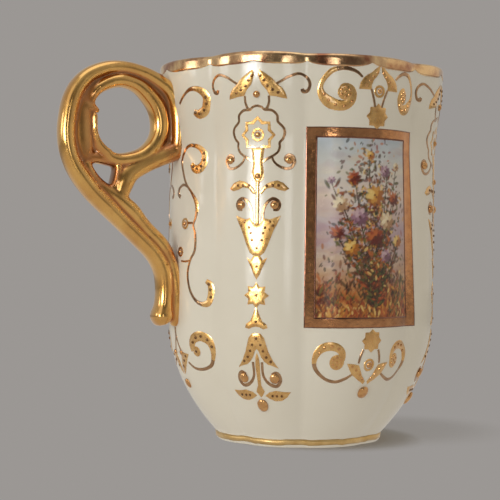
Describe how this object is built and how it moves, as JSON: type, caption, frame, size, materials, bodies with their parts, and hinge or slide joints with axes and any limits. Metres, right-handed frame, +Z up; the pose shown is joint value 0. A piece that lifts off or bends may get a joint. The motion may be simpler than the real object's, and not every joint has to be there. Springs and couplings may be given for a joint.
{
  "type": "espresso cup",
  "caption": "Small lobed porcelain coffee cup with a flared gilt rim, a rounded base on a foot ring, a gilt scroll handle and framed painted panels on its wide lobes",
  "frame": {"origin": "middle of the footprint of cup and handle, on the surface that the foot ring stands on", "axes": "+Z up along the cup's axis, -X toward the handle, -Y toward the panel that faces the viewer"},
  "size_m": [0.0687, 0.0498, 0.064],
  "materials": {
    "porcelain": "glossy ivory glaze",
    "handle_gilding": "burnished gilding over glazed porcelain, worn in places",
    "rim_gilding": "burnished gilding",
    "foot_gilding": "satin gilding",
    "frame_gilding": "satin gilding",
    "painted_panel": "glossy painted enamel"
  },
  "bodies": {
    "root": {"cup_body": "porcelain", "handle": "handle_gilding", "rim_gilding": "rim_gilding", "foot_gilding": "foot_gilding", "picture_frame_front": "frame_gilding", "picture_frame_side": "frame_gilding", "picture_frame_back": "frame_gilding", "picture_panel_front": "painted_panel", "picture_panel_side": "painted_panel", "picture_panel_back": "painted_panel"}
  },
  "joints": []
}
